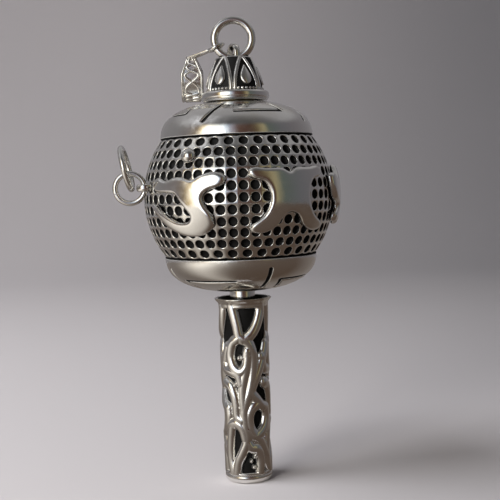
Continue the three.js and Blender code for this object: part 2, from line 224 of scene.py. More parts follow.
def metal(name, bright=SILVER, warm=WARM_SILVER, roughness=0.1, oxidised=True, dents=1.0):
    """Polished metal with tarnish and scratches, black where the point attribute is 1: real oxide and painted
    shade.
    """
    made = bpy.data.materials.new(name)
    made.use_nodes = True
    graph = Graph(made.node_tree)
    shader = made.node_tree.nodes["Principled BSDF"]
    place = graph.node("ShaderNodeTexCoord", None, None, "Object")
    tarnish = noise(graph, place, 240.0, 3.0).step(0.5, 0.8) * 0.55
    grime = noise(graph, place, 1400.0, 4.0, 0.65)
    colour = graph.mix(tarnish, bright, warm)
    worn = grime.step(0.25, 0.75) * 0.14
    rough = roughness + tarnish * 0.12 + worn * 0.7
    solid_metal = 1.0
    if oxidised:
        shader.inputs["Specular IOR Level"].default_value = 0.12
        oxide_and_shade = graph.node("ShaderNodeAttribute", {"attribute_name": "oxide_and_shade"}, None, "Fac")
        dark = (oxide_and_shade + (grime - 0.5) * 0.5 * oxide_and_shade).step(0.25, 0.6)
        colour = graph.mix(dark, colour, OXIDE_AND_SHADE)
        rough = rough + dark * 0.5
        solid_metal = 1.0 - dark
        graph.tree.links.new(solid_metal.socket, shader.inputs["Metallic"])
    else:
        shader.inputs["Metallic"].default_value = solid_metal
    stretched = graph.node("ShaderNodeMapping", None, {"Vector": place, "Scale": (1.0, 1.0, 0.12)})
    scratches = noise(graph, stretched, 9000.0, 2.0)
    swells = noise(graph, place, 420.0 * dents, 2.0)
    height = swells * 0.8 + scratches * 0.06 + grime * 0.06
    bump = graph.node("ShaderNodeBump", None, {"Strength": 0.35, "Distance": 0.00006, "Height": height})
    graph.tree.links.new(colour.socket, shader.inputs["Base Color"])
    graph.tree.links.new(rough.socket, shader.inputs["Roughness"])
    graph.tree.links.new(bump.socket, shader.inputs["Normal"])
    return made


def matt(name, light, dark, scale, roughness=0.85):
    """A matt material whose colour and surface vary finely, for paper and cotton."""
    made = bpy.data.materials.new(name)
    made.use_nodes = True
    graph = Graph(made.node_tree)
    shader = made.node_tree.nodes["Principled BSDF"]
    place = graph.node("ShaderNodeTexCoord", None, None, "Object")
    fibres = noise(graph, place, scale, 4.0, 0.6)
    colour = graph.mix(fibres, dark, light)
    bump = graph.node("ShaderNodeBump", None, {"Strength": 0.4, "Distance": 0.00005, "Height": fibres})
    shader.inputs["Roughness"].default_value = roughness
    graph.tree.links.new(colour.socket, shader.inputs["Base Color"])
    graph.tree.links.new(bump.socket, shader.inputs["Normal"])
    return made


antique_silver = metal("antique_silver")
plain_silver = metal("plain_silver", oxidised=False, roughness=0.08)
turned_brass = metal("turned_brass", (0.74, 0.56, 0.28, 1), (0.5, 0.33, 0.14, 1), 0.28, oxidised=False)
black_silver = metal("black_silver", (0.03, 0.028, 0.026, 1), (0.012, 0.011, 0.01, 1), 0.5, oxidised=False)
rolled_paper = matt("rolled_paper", (0.82, 0.74, 0.56, 1), (0.6, 0.5, 0.34, 1), 2500.0)
red_cotton = matt("red_cotton", (0.5, 0.08, 0.06, 1), (0.26, 0.03, 0.02, 1), 6000.0)

# %% [markdown]
# ## From arrays and trees to finished pieces
# A finished piece is a plain mesh whose object sits at the origin. `piece` makes one from arrays, `grown`
# makes one from a Geometry Nodes tree, and `finish_piece` shades it smooth, ties it to its body and hides the
# node that it stands for.

# %% Write the mesh helpers


def link(name, mesh):
    made = bpy.data.objects.new(name, mesh)
    bpy.context.collection.objects.link(made)
    return made


def piece(name, points, faces, oxide_and_shade=None, edges=()):
    """A mesh object from points, faces and, if given, an oxide value for each point."""
    mesh = bpy.data.meshes.new(name)
    mesh.from_pydata([tuple(p) for p in points], edges, [tuple(f) for f in faces])
    if oxide_and_shade is not None:
        mesh.attributes.new("oxide_and_shade", "FLOAT", "POINT").data.foreach_set("value", np.asarray(oxide_and_shade, "f"))
    return link(name, mesh)


def grown(name, tree, values, base=None):
    """The plain mesh that a Geometry Nodes tree makes. values holds the tree's named inputs."""
    seed = base or link(f"{name}_seed", bpy.data.meshes.new(f"{name}_seed"))
    modifier = seed.modifiers.new("grow", "NODES")
    modifier.node_group = tree
    for item in tree.interface.items_tree:
        if item.in_out == "INPUT" and item.name in values:
            modifier[item.identifier] = values[item.name]
    seed.update_tag()
    evaluated = seed.evaluated_get(bpy.context.evaluated_depsgraph_get())
    mesh = bpy.data.meshes.new_from_object(evaluated)
    bpy.data.objects.remove(seed)
    mesh.name = name
    return link(name, mesh)


def joined(name, *parts):
    """One plain mesh from several objects, which are removed."""
    work = bmesh.new()
    for part in parts:
        work.from_mesh(part.data)
        bpy.data.objects.remove(part)
    mesh = bpy.data.meshes.new(name)
    work.to_mesh(mesh)
    work.free()
    return link(name, mesh)


def finish_piece(made, material, body, *nodes, slot="silver", merge=1e-7):
    """Closes seams, shades the piece smooth, gives it its material and ties it to the frame."""
    work = bmesh.new()
    work.from_mesh(made.data)
    bmesh.ops.remove_doubles(work, verts=work.verts, dist=merge)
    bmesh.ops.dissolve_degenerate(work, edges=work.edges, dist=merge)
    if work.calc_volume(signed=True) < 0:
        bmesh.ops.reverse_faces(work, faces=work.faces)
    open_edges = sum(1 for edge in work.edges if len(edge.link_faces) != 2)
    triangles = sum(len(face.verts) - 2 for face in work.faces)
    work.to_mesh(made.data)
    work.free()
    made.data.materials.clear()
    made.data.materials.append(material)
    made.data.shade_smooth()
    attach(made, body)
    if nodes:
        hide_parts(*nodes)
    print(f"{made.name}: {triangles} triangles, {open_edges} open edges")
    return made


# %% [markdown]
# ## Trees that press relief into a turned wall
# The domes, the crown and the handle are turned walls with a pattern in them. `relief_tree` starts from a
# flat grid whose X is the turn and whose Y is the way up. Each piece only says where a grid point lies and
# how black it is there. `closed_wall` then joins the wall's two ends round the inside, so that the piece is
# solid.

# %% Write the relief tree


def geometry_tree(name, labels):
    """A Geometry Nodes tree with a Geometry input and the named numbers, whole where a name says Count."""
    tree = bpy.data.node_groups.new(name, "GeometryNodeTree")
    tree.interface.new_socket("Geometry", in_out="INPUT", socket_type="NodeSocketGeometry")
    tree.interface.new_socket("Geometry", in_out="OUTPUT", socket_type="NodeSocketGeometry")
    for label in labels:
        kind = "NodeSocketInt" if "Count" in label else "NodeSocketFloat"
        tree.interface.new_socket(label, in_out="INPUT", socket_type=kind)
    graph = Graph(tree)
    entry = tree.nodes.new("NodeGroupInput")
    return graph, {label: Wire(graph, entry.outputs[label]) for label in ("Geometry", *labels)}


def end_tree(graph, geometry, material):
    """Real instances and one material, then the tree's output."""
    real = graph.node("GeometryNodeRealizeInstances", None, {"Geometry": geometry})
    dressed = graph.node("GeometryNodeSetMaterial", None, {"Geometry": real, "Material": material})
    out = graph.tree.nodes.new("NodeGroupOutput")
    graph.tree.links.new(dressed.socket, out.inputs[0])
    return graph.tree


# The stored mask marks real oxide, and also painted shade where a surface gives it.
def keep_oxide(graph, geometry, oxide_and_shade):
    settings = {"data_type": "FLOAT", "domain": "POINT"}
    inputs = {"Geometry": geometry, "Name": "oxide_and_shade", "Value": oxide_and_shade}
    return graph.node("GeometryNodeStoreNamedAttribute", settings, inputs)


def place_round(graph, geometry, turn, radius, height):
    """Moves points to a turn, a radius and a height. Turn 0 faces the front."""
    inputs = {0: radius * turn.sin(), 1: -(radius * turn.cos()), 2: height}
    place = graph.node("ShaderNodeCombineXYZ", None, inputs)
    return graph.node("GeometryNodeSetPosition", None, {"Geometry": geometry, "Position": place})


def relief_tree(name, labels, surface):
    """A turned wall. surface(turn, up, given) gives radius, height and oxide."""
    graph, given = geometry_tree(name, ["Count across", "Count up", *labels])
    across = given["Count across"] + 1.0
    size = {"Size X": 1.0, "Size Y": 1.0, "Vertices X": across, "Vertices Y": given["Count up"] + 1.0}
    grid = graph.node("GeometryNodeMeshGrid", None, size)
    flat_x, flat_y, _ = graph.parts(graph.node("GeometryNodeInputPosition"))
    turn = flat_x * math.tau
    radius, height, oxide_and_shade = surface(turn, flat_y + 0.5, given)
    blackened = keep_oxide(graph, grid, oxide_and_shade)
    return end_tree(graph, place_round(graph, blackened, turn, radius, height), antique_silver)


def by_turn(verts):
    return sorted(verts, key=lambda vert: math.atan2(vert.co.x, -vert.co.y))


def closed_wall(made, inner):
    """Joins a wall's top border to its bottom one by way of inner, a list of (radius, height)."""
    work = bmesh.new()
    work.from_mesh(made.data)
    bmesh.ops.remove_doubles(work, verts=work.verts, dist=2e-7)
    layer = work.verts.layers.float["oxide_and_shade"]
    border = {vert for edge in work.edges if len(edge.link_faces) == 1 for vert in edge.verts}
    middle = sum(vert.co.z for vert in border) / len(border)
    top = by_turn(vert for vert in border if vert.co.z > middle)
    bottom = by_turn(vert for vert in border if vert.co.z <= middle)
    rings = [top]
    for radius, height in inner:
        ring = []
        for vert in top:
            flat = vert.co.xy.normalized() * radius
            new = work.verts.new((flat.x, flat.y, height))
            new[layer] = 1.0
            ring.append(new)
        rings.append(ring)
    rings.append(bottom)
    for here, there in zip(rings, rings[1:]):
        for n in range(len(top)):
            m = (n + 1) % len(top)
            work.faces.new((here[n], here[m], there[m], there[n]))
    bmesh.ops.recalc_face_normals(work, faces=work.faces)
    work.to_mesh(made.data)
    work.free()
    return made


# %% [markdown]
# ## The drum's shell
# The barrel is punched all over with round dimples, 36 in the rows next to the rims, where the drum is
# narrow, and up to 54 where it is wide. One tile holds one dimple: a square whose border has enough
# vertices to meet the tiles above and below, a rounded lip, a steep wall and a flat floor. Geometry Nodes
# sets the tiles out in rows and then bends the flat sheet into the barrel.

# %% Lay out one dimple tile
DIMPLE_ROWS = 11
DIMPLE_RADIUS = 0.585 * MM
DIMPLE_DEPTH = 0.42 * MM
LIP = 0.08 * MM
ROUND_COUNT = 432
ROW_ANGLE = 2 * ARC_HALF_ANGLE / DIMPLE_ROWS
ROW_PITCH = ROW_ANGLE * BARREL_ARC


def dimple_tile(count, radius):
    """One tile, 1 wide and 1 high, with its dimple below it. radius is the drum's radius at this row."""
    wide = ROUND_COUNT // count
    high = 4
    border = [(n / wide - 0.5, -0.5) for n in range(wide)]
    border += [(0.5, n / high - 0.5) for n in range(high)]
    border += [(0.5 - n / wide, 0.5) for n in range(wide)]
    border += [(-0.5, 0.5 - n / high) for n in range(high)]
    pitch = math.tau * radius / count
    points = [(x, y, 0.0) for x, y in border]
    oxide_and_shade = [0.0] * len(border)
    rings = [(LIP, 0.0, 0.0), (LIP * 0.35, LIP * 0.25, 0.0), (0.0, LIP, 0.8)]
    rings += [(-LIP * 0.6, DIMPLE_DEPTH * 0.85, 1.0), (-LIP * 1.6, DIMPLE_DEPTH, 1.0)]
    for spread, depth, black in rings:
        for x, y in border:
            long = math.hypot(x * pitch, y * ROW_PITCH)
            reach = (DIMPLE_RADIUS + spread) / long
            points.append((x * reach, y * reach, -depth))
            oxide_and_shade.append(black)
    size = len(border)
    faces = []
    for k in range(len(rings)):
        for n in range(size):
            m = (n + 1) % size
            faces.append((k * size + n, k * size + m, (k + 1) * size + m, (k + 1) * size + n))
    faces.append([len(rings) * size + n for n in range(size)])
    return piece("tile", points, faces, oxide_and_shade)


# %% [markdown]
# The rows with one count are spaced evenly about the middle row, so one grid of points places them all.

# %% Bend rows of tiles into the barrel


def shell_tree():
    labels = ["Count round", "Count rows", "Row step", "Arc radius", "Row angle", "Axis offset", "Middle"]
    graph, given = geometry_tree("shell_rows", labels)
    last_column = given["Count round"] - 1.0
    last_row = (given["Count rows"] - 1.0) * given["Row step"]
    size = {"Size X": last_column, "Size Y": last_row}
    size |= {"Vertices X": given["Count round"], "Vertices Y": given["Count rows"]}
    grid = graph.node("GeometryNodeMeshGrid", None, size)
    laid = graph.node("GeometryNodeInstanceOnPoints", None, {"Points": grid, "Instance": given["Geometry"]})
    real = graph.node("GeometryNodeRealizeInstances", None, {"Geometry": laid})
    x, y, z = graph.parts(graph.node("GeometryNodeInputPosition"))
    turn = x / given["Count round"] * math.tau
    lean = y * given["Row angle"]
    reach = given["Arc radius"] + z
    radius = reach * lean.cos() + given["Axis offset"]
    height = reach * lean.sin() + given["Middle"]
    return end_tree(graph, place_round(graph, real, turn, radius, height), antique_silver)


SHELL_SETS = ((36, 2, 10), (48, 2, 8), (54, 7, 1))
rows_tree = shell_tree()
shell_sheets = []
for count, rows, step in SHELL_SETS:
    lean = ROW_ANGLE * (rows - 1) * step / 2 if rows == 2 else 0.0
    tile = dimple_tile(count, float(barrel_radius(BARREL_ARC * math.sin(lean))))
    values = {"Count round": count, "Count rows": rows, "Row step": float(step)}
    values |= {"Arc radius": BARREL_ARC, "Row angle": ROW_ANGLE}
    values |= {"Axis offset": DRUM_RADIUS - BARREL_ARC, "Middle": SHELL_MIDDLE}
    shell_sheets.append(grown(f"rows_{count}", rows_tree, values, tile))
shell = joined("dimpled_shell", *shell_sheets)
WALL = 0.7 * MM
inner_wall = []
for share in (1.0, 0.8, 0.5, 0.2, -0.2, -0.5, -0.8, -1.0):
    height = share * SHELL_HALF
    inner_wall.append((float(barrel_radius(height)) - WALL, SHELL_MIDDLE + height))
closed_wall(shell, inner_wall)
finish_piece(shell, antique_silver, "drum", "drum_shell")

# %% [markdown]
# ## The domes
# Each dome is a spun silver cap with strokes cut into it by hand and blackened. The pattern repeats four
# times: a long stroke along the dome, a short return at its end, and a slanting stroke by itself. A node
# expression measures how far each point is from the nearest stroke, and cuts a groove there.

# %% Cut the domes
UPPER_STROKES = ((0, 34, 43, 34), (43, 34, 39, 52), (-25, 18, -13, 57))
LOWER_STROKES = ((-55, 33, -5, 33), (-55, 33, -50, 52), (23, 13, 22, 52))
QUARTER = math.pi / 2
FULLNESS = 2.4
LIP_DEPTH = 1.15 * MM
GROOVE = 0.25 * MM


def stroke_distance(turn, angle, radius, rise, stroke):
    """How far a point of the dome is from one stroke. Its ends are degrees of turn and of the profile."""
    from_turn, from_angle, to_turn, to_angle = (math.radians(value) for value in stroke)
    across = (turn - from_turn) * radius
    along = (angle - from_angle) * rise
    long_across = radius * (to_turn - from_turn)
    long_along = rise * (to_angle - from_angle)
    length = long_across * long_across + long_along * long_along
    share = ((across * long_across + along * long_along) / length).clamp()
    return ((across - share * long_across).power(2.0) + (along - share * long_along).power(2.0)).root()


def dome_surface(strokes, centre):
    def surface(turn, up, given):
        angle = up * given["Top angle"]
        rim, rise = given["Rim radius"], given["Rise"]
        radius = angle.cos().power(2 / FULLNESS) * rim
        height = angle.sin().most(0.0).power(2 / FULLNESS) * rise
        folded = (turn - math.radians(centre)).wrap(QUARTER / 2) + math.radians(centre)
        mean = (rim + rise) * 0.5
        near = None
        for stroke in strokes:
            distance = stroke_distance(folded, angle, radius, mean, stroke)
            near = near.least(distance) if near else distance
        cut = 1.0 - near.step(GROOVE * 0.75, GROOVE * 1.35)
        steepness = 2 - 2 / FULLNESS
        lean_out, lean_up = rise * angle.cos().power(steepness), rim * angle.sin().most(0.0).power(steepness)
        length = (lean_out * lean_out + lean_up * lean_up).root()
        depth = cut * given["Depth"]
        # Painted shade: the lowest strip of the dome, where it meets the drum, is darkened for the shade in
        # the gap between them.
        edge = 1.0 - angle.step(0.0, 0.03)
        black = cut.most(edge * 0.8)
        return radius - depth * lean_out / length, height - depth * lean_up / length, black

    return surface


def dome(name, node, strokes, centre, direction):
    """direction is 1 for the dome above the drum and -1 for the one below."""
    low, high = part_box(node)
    rim_height = low.z + LIP_DEPTH if direction > 0 else high.z - LIP_DEPTH
    rise_seen = high.z - low.z - LIP_DEPTH
    opening = (2.75 if direction > 0 else 2.79) * MM
    top_angle = math.acos((opening / RIM_RADIUS) ** (FULLNESS / 2))
    tree = relief_tree(name, ["Rim radius", "Rise", "Top angle", "Depth"], dome_surface(strokes, centre))
    full_rise = rise_seen / math.sin(top_angle) ** (2 / FULLNESS)
    values = {"Count across": 640, "Count up": 88, "Rim radius": RIM_RADIUS, "Rise": full_rise}
    made = grown(name, tree, values | {"Top angle": top_angle, "Depth": 0.28 * MM})
    thick = 0.7 * MM
    inner = []
    for share in (1.0, 0.8, 0.6, 0.4, 0.2, 0.0):
        across = math.cos(top_angle * share) ** (2 / FULLNESS)
        along = math.sin(top_angle * share) ** (2 / FULLNESS)
        inner.append(((RIM_RADIUS - thick) * across, (full_rise - thick) * along))
    inner[0] = (opening, rise_seen - thick)
    closed_wall(made, inner)
    for vert in made.data.vertices:
        vert.co.z = rim_height + direction * vert.co.z
    return finish_piece(made, antique_silver, "drum", node)


dome("engraved_upper_dome", "upper_dome", UPPER_STROKES, 10, 1)
dome("engraved_lower_dome", "lower_dome", LOWER_STROKES, -17, -1)

# %% [markdown]
# ## The applied ornaments
# Five thick polished shapes stand on the drum, held a little off its dimpled wall: tailed clouds, altar
# tables and a lotus bud. Each is sawn from plate and filed round. A smooth curve goes through the outline's
# points, the filled curve is remeshed and smoothed, which rounds the edges as a file would, and the flat
# shape is wrapped on the drum.

# %% Draw the outlines
TAILED_CLOUD = (
    (-4.2, 2.3), (-4.2, 3.1), (-3.4, 3.7), (-2.3, 3.2), (-1.3, 3.6), (-0.2, 3.6), (0.8, 3.2), (1.9, 3.9),
    (3.3, 4.2), (4.2, 3.4), (3.8, 2.3), (2.6, 1.7), (2.0, 0.8), (2.2, -0.4), (2.8, -1.8), (2.8, -3.3),
    (1.6, -4.5), (-0.3, -4.6), (-2.2, -3.5), (-3.7, -1.7), (-4.5, -0.1), (-3.9, 0.0), (-2.7, -1.3),
    (-1.1, -2.5), (0.2, -2.6), (0.6, -1.8), (0.1, -0.8), (-0.5, 0.3), (-1.1, 1.3), (-2.3, 1.5), (-3.4, 1.6),
)
HALF_TABLE = (
    (0, 3.7), (0.9, 4.3), (2.4, 4.3), (3.6, 4.5), (4.2, 3.9), (3.8, 3.0), (2.8, 2.5), (2.3, 1.2), (2.3, -0.6),
    (2.9, -2.3), (4.0, -3.6), (3.8, -4.5), (2.6, -4.6), (1.5, -3.7), (0.9, -2.4), (0, -1.8),
)
HALF_BUD = (
    (0, 4.5), (1.0, 3.3), (1.9, 2.4), (3.2, 3.2), (4.0, 2.9), (4.1, 1.4), (3.5, -0.4), (2.3, -1.6),
    (3.1, -2.9),
    (2.7, -4.0), (1.2, -3.5), (0, -4.5),
)


STRETCH, SQUASH = 1.22, 0.86


def mirrored(half):
    return half + tuple((-x, y) for x, y in reversed(half) if x)


def smooth_loop(points, steps=6):
    """Points on a smooth closed curve through the given ones."""
    made = []
    count = len(points)
    for n in range(count):
        a, b, c, d = (np.array(points[(n + k) % count], float) for k in (-1, 0, 1, 2))
        for step in range(steps):
            t = step / steps
            tangents = (c - a) * (t ** 3 - 2 * t ** 2 + t) / 2 + (d - b) * (t ** 3 - t ** 2) / 2
            made.append(b * (2 * t ** 3 - 3 * t ** 2 + 1) + c * (3 * t ** 2 - 2 * t ** 3) + tangents)
    return np.array(made)


# %% File the ornaments round
PLATE_THICK = 0.9 * MM
PLATE_GAP = 0.08 * MM
VOXEL = 0.12 * MM


def filed_plate(outline):
    """A plate of the outline with rounded edges, lying flat, as arrays of points and faces."""
    curve = bpy.data.curves.new("outline", "CURVE")
    curve.dimensions = "2D"
    curve.fill_mode = "BOTH"
    curve.extrude = PLATE_THICK * 0.12
    curve.bevel_depth = PLATE_THICK * 0.38
    curve.bevel_resolution = 3
    curve.offset = -PLATE_THICK * 0.38
    spline = curve.splines.new("POLY")
    loop = smooth_loop(outline) * (STRETCH * MM, SQUASH * MM)
    spline.points.add(len(loop) - 1)
    for point, (x, y) in zip(spline.points, loop):
        point.co = (x, y, 0.0, 1.0)
    spline.use_cyclic_u = True
    source = link("outline", curve)
    flat = link("flat", bpy.data.meshes.new_from_object(source))
    bpy.data.objects.remove(source)
    remesh = flat.modifiers.new("remesh", "REMESH")
    remesh.mode = "VOXEL"
    remesh.voxel_size = VOXEL
    smooth = flat.modifiers.new("smooth", "SMOOTH")
    smooth.factor = 0.5
    smooth.iterations = 10
    evaluated = flat.evaluated_get(bpy.context.evaluated_depsgraph_get())
    mesh = bpy.data.meshes.new_from_object(evaluated)
    bpy.data.objects.remove(flat)
    points = np.array([vert.co for vert in mesh.vertices])
    faces = [tuple(face.vertices) for face in mesh.polygons]
    bpy.data.meshes.remove(mesh)
    return points, faces


def wrapped(points, turn, middle, lift):
    """Moves flat points, whose Z is outward, onto the drum about a turn and a height."""
    height = middle + points[:, 1]
    radius = barrel_radius(height - SHELL_MIDDLE) + lift + points[:, 2]
    across = points[:, 0]
    face = np.array((math.sin(turn), -math.cos(turn)))
    side = np.array((math.cos(turn), math.sin(turn)))
    outward = np.sqrt(np.maximum(radius ** 2 - across ** 2, 0.0))
    flat = outward[:, None] * face + across[:, None] * side
    return np.column_stack([flat, height])


plates = {name: filed_plate(shape) for name, shape in
          (("cloud", TAILED_CLOUD), ("table", mirrored(HALF_TABLE)), ("bud", mirrored(HALF_BUD)))}
PLATE_ORDER = ("cloud", "table", "bud", "table", "cloud")
for number, motif in enumerate(PLATE_ORDER, 1):
    low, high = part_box(f"relief_plate_{number}")
    turn = math.radians(60 * number - 90)
    points, faces = plates[motif]
    spread = wrapped(points, turn, (low.z + high.z) / 2, PLATE_GAP + PLATE_THICK / 2)
    # Painted shade: the lower part of each ornament's edge is blackened, for the shade in the gap between the
    # ornament and the drum.
    depth = 1.0 - (points[:, 2] / PLATE_THICK + 0.5)
    made = piece(f"ornament_{number}_{motif}", spread, faces, np.clip(depth * 2.2 - 1.3, 0.0, 1.0))
    finish_piece(made, antique_silver, "drum", f"relief_plate_{number}")

# %% [markdown]
# ## The crown
# The crown is a cast bell with six pointed petals round it. Each petal has a raised round outline that
# closes to a point at the top, and a raised leaf inside. The ground between them is blackened. A row of
# beads runs round the foot. The relief is half an ellipse in section, so that each ridge catches one thin
# line of light.

# %% Raise the petals
PETALS = 6
PETAL_TURN = math.radians(-33)
RIDGE = 0.28 * MM
SINK = 0.26 * MM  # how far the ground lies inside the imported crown, to leave room for the ridges
BEADS_ROUND = 44


def dome_of(value):
    """Half an ellipse: 1 where value is 0, and 0 where it is 1 away or more."""
    return (1.0 - value.power(2.0)).most(0.0).root()


def crown_surface(turn, up, given):
    foot, narrow = given["Foot radius"], given["Top radius"]
    radius = narrow + (foot - narrow) * (1.0 - up.power(1.5))
    across = (turn - PETAL_TURN).wrap(math.pi / PETALS) * radius
    half = radius * (math.pi / PETALS)
    outline = half * 0.86 * (1.0 - up.power(2.3)).most(0.0).power(0.7)
    ridge = dome_of((across.abs() - outline) / RIDGE)
    grown_up = ((up - 0.13) / 0.62).clamp()
    leaf_half = (half * 0.45 * (grown_up.power(0.7) * math.pi).sin()).most(0.03 * MM)
    leaf = dome_of(across / leaf_half) * grown_up.step(0.0, 0.08) * (1.0 - grown_up.step(0.92, 1.0))
    beads = dome_of((up - 0.035) / 0.04) * (0.7 + 0.3 * (turn * BEADS_ROUND).cos())
    raised = (ridge * 0.24 * MM).most(leaf * 0.3 * MM).most(beads * 0.2 * MM)
    bright = ridge.step(0.15, 0.6).most(leaf.step(0.15, 0.6)).most(beads.step(0.3, 0.7))
    bright = bright.most(up.step(0.97, 0.99))
    return radius + raised - SINK, given["Foot height"] + given["Height"] * up, 1.0 - bright


crown_low, crown_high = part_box("crown")
CROWN_HEIGHT = crown_high.z - crown_low.z
DISH_RADIUS = 1.9 * MM
DISH_DEPTH = 1.0 * MM
crown_tree = relief_tree("crown", ["Foot radius", "Top radius", "Foot height", "Height"], crown_surface)
crown_sizes = {"Count across": 480, "Count up": 84, "Foot radius": crown_high.x, "Top radius": 2.3 * MM}
crown_sizes |= {"Foot height": crown_low.z, "Height": CROWN_HEIGHT}
crown = grown("petalled_crown", crown_tree, crown_sizes)
DISH_FLOOR = crown_high.z - DISH_DEPTH
bore = [(DISH_RADIUS + 0.1 * MM, crown_high.z + 0.04 * MM), (DISH_RADIUS, crown_high.z - 0.1 * MM)]
bore += [(DISH_RADIUS, DISH_FLOOR), (0.04 * MM, DISH_FLOOR), (0.04 * MM, crown_low.z)]
finish_piece(closed_wall(crown, bore), antique_silver, "handle", "crown")

# %% [markdown]
# ## Turned bands
# The collar under the crown, the stub on which the drum turns, and the band round the handle's foot are
# plain turned rings. Every corner is eased, because a polished corner is never sharp, and the eased corner
# is what shows as a bright line.

# %% Turn the bands


def turned(name, profile, segments=144):
    """A ring turned on the lathe from a closed loop of (radius, height)."""
    rows = len(profile)
    points = []
    for n in range(segments):
        turn = math.tau * n / segments
        points += [(r * math.sin(turn), -r * math.cos(turn), z) for r, z in profile]
    faces = []
    for n in range(segments):
        here, there = n * rows, (n + 1) % segments * rows
        faces += [(here + k, there + k, there + (k + 1) % rows, here + (k + 1) % rows) for k in range(rows)]
    return piece(name, points, faces, [0.0] * len(points))


def eased(corners, radius, steps=5):
    """A closed profile in millimetres, with its corners rounded, in metres."""
    made = []
    count = len(corners)
    for n, corner in enumerate(corners):
        here = Vector(corner)
        before = Vector(corners[n - 1]) - here
        after = Vector(corners[(n + 1) % count]) - here
        reach = min(radius, before.length * 0.45, after.length * 0.45)
        first = here + before.normalized() * reach
        last = here + after.normalized() * reach
        for step in range(steps + 1):
            t = step / steps
            bend = first * (1 - t) ** 2 + here * 2 * t * (1 - t) + last * t ** 2
            made.append(tuple(bend * MM))
    return made


def span(node):
    """A node's lowest and highest Z and its reach along X, in millimetres."""
    low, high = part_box(node)
    return low.z / MM, high.z / MM, high.x / MM


AXIS_HOLE = 1.05
low, high, wide = span("crown_collar")
collar_corners = [(wide - 0.3, low), (wide, low + 0.45), (wide, high - 0.25), (wide - 0.35, high)]
collar_corners += [(AXIS_HOLE, high), (AXIS_HOLE, high - 0.85), (wide - 0.75, high - 0.85), (wide - 0.7, low)]
collar = turned("collar_band", eased(collar_corners, 0.4))
finish_piece(collar, plain_silver, "handle", "crown_collar")
low, high, wide = span("thrust_collar")
stub = turned("stub", eased([(AXIS_HOLE, low), (wide, low), (wide, high), (AXIS_HOLE, high)], 0.12))
finish_piece(stub, plain_silver, "handle", "thrust_collar")
low, high, wide = span("handle_end_cap")
end_corners = [(0.05, low), (wide - 0.25, low), (wide, low + 0.35), (wide, high), (0.05, high)]
finish_piece(turned("foot_band", eased(end_corners, 0.3)), plain_silver, "handle", "handle_end_cap")

# %% [markdown]
# ## The handle
# The handle is a tube of interlaced strands, cast and polished, with a black core behind its openings. The
# strands are drawn on the tube's unrolled surface, as turns in degrees and heights in millimetres, and the
# drawing repeats three times round the tube. The tree measures each point's distance from the nearest
# strand, with one Geometry Proximity node, and raises a round ridge there. A strand's third number sinks it
# under the ones it passes below.

# %% Draw the strands
HANDLE_REPEATS = 3
STRANDS = (
    (0.0, ((-36, 24.0), (-29, 22.6), (-19, 20.6), (-12, 19.1), (2, 18.8), (22, 19.5), (40, 20.8), (51, 22.4),
           (47, 24.0))),
    (0.0, ((-12, 19.1), (12, 18.3), (23, 16.6), (20, 14.2), (11, 12.2), (1, 10.8), (-6, 9.4), (-4, 7.6),
           (0, 6.0), (-11, 4.4), (-28, 2.7), (-35, 1.0))),
    (0.0, ((-13, 19.0), (-33, 18.3), (-42, 16.7), (-34, 15.2), (-14, 14.5), (2, 15.2), (8, 16.6))),
    (0.12, ((8, 17.2), (5, 15.4), (-3, 13.8), (-8, 12.4), (-8, 10.9), (-6, 9.4))),
    (0.16, ((-70, 16.4), (-60, 14.9), (-40, 14.6), (-20, 14.2), (-12, 13.0))),
    (0.0, ((-63, 13.0), (-47, 12.6), (-35, 11.6), (-29, 10.2), (-27, 8.8), (-14, 8.2))),
    (0.0, ((-60, 7.0), (-46, 7.6), (-30, 7.9), (-13, 7.2), (-4, 5.8))),
    (0.16, ((-47, 7.4), (-55, 5.4), (-57, 3.4), (-48, 1.2))),
    (0.0, ((72, 17.8), (58, 16.4), (42, 14.9), (26, 13.4), (15, 12.0), (30, 10.9), (46, 10.0), (62, 9.7))),
    (0.0, ((62, 9.7), (64, 8.4), (54, 7.1), (34, 6.3), (16, 6.2), (2, 7.0))),
    (0.12, ((34, 10.4), (15, 9.7), (7, 8.7), (9, 7.4), (20, 6.3), (36, 5.6), (50, 4.4), (63, 3.3))),
    (0.16, ((2, 5.2), (12, 4.6), (28, 4.4), (38, 3.2), (34, 1.2))),
)
DROPS = (  # a turn in degrees, a height and a radius
    (-14, 16.4, 0.42), (-24, 13.1, 0.5), (-17, 9.9, 0.34), (8, 2.9, 0.36), (18, 3.4, 0.3), (15, 2.1, 0.34),
)
STRAND = 0.84 * MM
OPENING_DEPTH = 0.78 * MM
PLAIN_TOP, PLAIN_FOOT = 1.35 * MM, 0.35 * MM
FLARE = 0.45 * MM


def smooth_path(points, steps=8):
    """Points on a smooth open curve through the given ones."""
    ends = [2 * np.array(points[0]) - points[1], 2 * np.array(points[-1]) - points[-2]]
    fixed = [ends[0], *(np.array(p, float) for p in points), ends[1]]
    made = []
    for a, b, c, d in zip(fixed, fixed[1:], fixed[2:], fixed[3:]):
        for t in np.arange(steps) / steps:
            tangents = (c - a) * (t ** 3 - 2 * t ** 2 + t) / 2 + (d - b) * (t ** 3 - t ** 2) / 2
            made.append(b * (2 * t ** 3 - 3 * t ** 2 + 1) + c * (3 * t ** 2 - 2 * t ** 3) + tangents)
    return made + [fixed[-2]]


def strand_drawing(radius):
    """Every strand as edges on the unrolled tube, repeated past both ends of one turn."""
    points, edges = [], []
    for repeat in range(-2, 3):
        for sunk, path in STRANDS:
            first = len(points)
            for degrees, height in smooth_path(path):
                turn = math.radians(degrees + repeat * 360 / HANDLE_REPEATS)
                points.append((turn * radius, height * MM, sunk * MM))
            edges += [(k, k + 1) for k in range(first, len(points) - 1)]
    return piece("strand_drawing", points, [], None, edges)


# %% Raise the handle
low, high, wide = span("handle_sleeve")
HANDLE_FOOT, HANDLE_TOP, HANDLE_MEAN = 3.12 * MM, 3.3 * MM, 3.2 * MM


